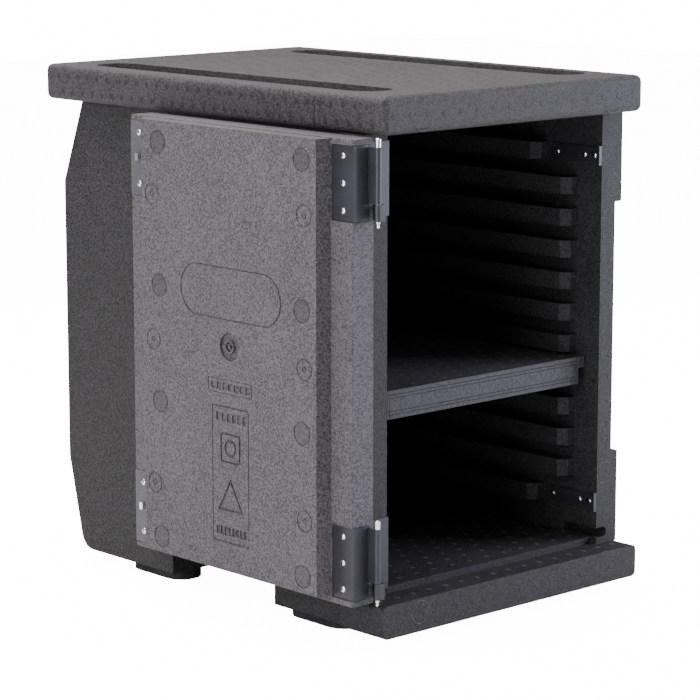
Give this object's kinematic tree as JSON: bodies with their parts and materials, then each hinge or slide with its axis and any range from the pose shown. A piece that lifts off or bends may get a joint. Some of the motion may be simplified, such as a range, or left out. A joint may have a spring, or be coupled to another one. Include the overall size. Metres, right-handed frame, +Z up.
{
  "type": "insulated food carrier",
  "caption": "Front-loading insulated foam box with tray rails, a divider shelf and a lift-off door folded open against its side.",
  "frame": {"origin": "centre of the bounding box's bottom face, on the floor, with the door folded open against the left side", "axes": "+Z up, the opening looks along -Y, +X to the right seen from the opening"},
  "size_m": [0.494, 0.64, 0.652],
  "materials": {
    "body_foam": "fine moulded bead foam, dark grey",
    "roof_foam": "fine moulded bead foam, dark grey",
    "door_foam": "fine moulded bead foam, grey",
    "shelf_foam": "fine moulded bead foam, dark grey",
    "coated_steel": "smooth satin dark grey coating",
    "bright_steel": "bright turned steel",
    "handle_plastic": "smooth black"
  },
  "bodies": {
    "carrier": {"body_shell": "body_foam", "roof_cover": "roof_foam", "wall_hinge_plate_lower": "coated_steel", "keeper_strap_lower": "coated_steel", "wall_hinge_rivet_lower_1": "bright_steel", "keeper_rivet_lower_1": "bright_steel", "wall_hinge_rivet_lower_2": "bright_steel", "keeper_rivet_lower_2": "bright_steel", "wall_hinge_rivet_lower_3": "bright_steel", "keeper_rivet_lower_3": "bright_steel", "wall_hinge_plate_upper": "coated_steel", "keeper_strap_upper": "coated_steel", "wall_hinge_rivet_upper_1": "bright_steel", "keeper_rivet_upper_1": "bright_steel", "wall_hinge_rivet_upper_2": "bright_steel", "keeper_rivet_upper_2": "bright_steel", "wall_hinge_rivet_upper_3": "bright_steel", "keeper_rivet_upper_3": "bright_steel"},
    "door": {"door_panel": "door_foam", "door_hinge_leaf_lower": "coated_steel", "door_latch_plate_lower": "coated_steel", "door_hinge_rivet_lower_1": "bright_steel", "door_hinge_rivet_lower_2": "bright_steel", "door_hinge_rivet_lower_3": "bright_steel", "latch_rivet_lower_1": "bright_steel", "latch_rivet_lower_2": "bright_steel", "door_hinge_leaf_upper": "coated_steel", "door_latch_plate_upper": "coated_steel", "door_hinge_rivet_upper_1": "bright_steel", "door_hinge_rivet_upper_2": "bright_steel", "door_hinge_rivet_upper_3": "bright_steel", "latch_rivet_upper_1": "bright_steel", "latch_rivet_upper_2": "bright_steel"},
    "shelf": {"divider_shelf": "shelf_foam"},
    "pin_lower": {"hinge_pin_lower": "bright_steel"},
    "pin_upper": {"hinge_pin_upper": "bright_steel"},
    "latch_lower": {"latch_spindle_lower": "bright_steel", "latch_cam_lower": "bright_steel", "latch_handle_lower": "handle_plastic"},
    "latch_upper": {"latch_spindle_upper": "bright_steel", "latch_cam_upper": "bright_steel", "latch_handle_upper": "handle_plastic"}
  },
  "joints": [
    {"name": "door_hinge", "type": "hinge", "parent": "carrier", "child": "door", "pos_m": [-0.198, -0.315, 0.3315], "axis": [0, 0, -1], "range_deg": [-270, 0]},
    {"name": "shelf_slide", "type": "slide", "parent": "carrier", "child": "shelf", "axis": [0, -1, 0], "range_m": [0, 0.5]},
    {"name": "hinge_pin_lower_lift", "type": "slide", "parent": "carrier", "child": "pin_lower", "axis": [0, 0, 1], "range_m": [0, 0.105]},
    {"name": "hinge_pin_upper_lift", "type": "slide", "parent": "carrier", "child": "pin_upper", "axis": [0, 0, 1], "range_m": [0, 0.105]},
    {"name": "latch_lower_turn", "type": "hinge", "parent": "door", "child": "latch_lower", "pos_m": [-0.208, 0.083, 0.1115], "axis": [1, 0, 0], "range_deg": [-90, 0]},
    {"name": "latch_upper_turn", "type": "hinge", "parent": "door", "child": "latch_upper", "pos_m": [-0.208, 0.083, 0.5515], "axis": [1, 0, 0], "range_deg": [-90, 0]}
  ]
}
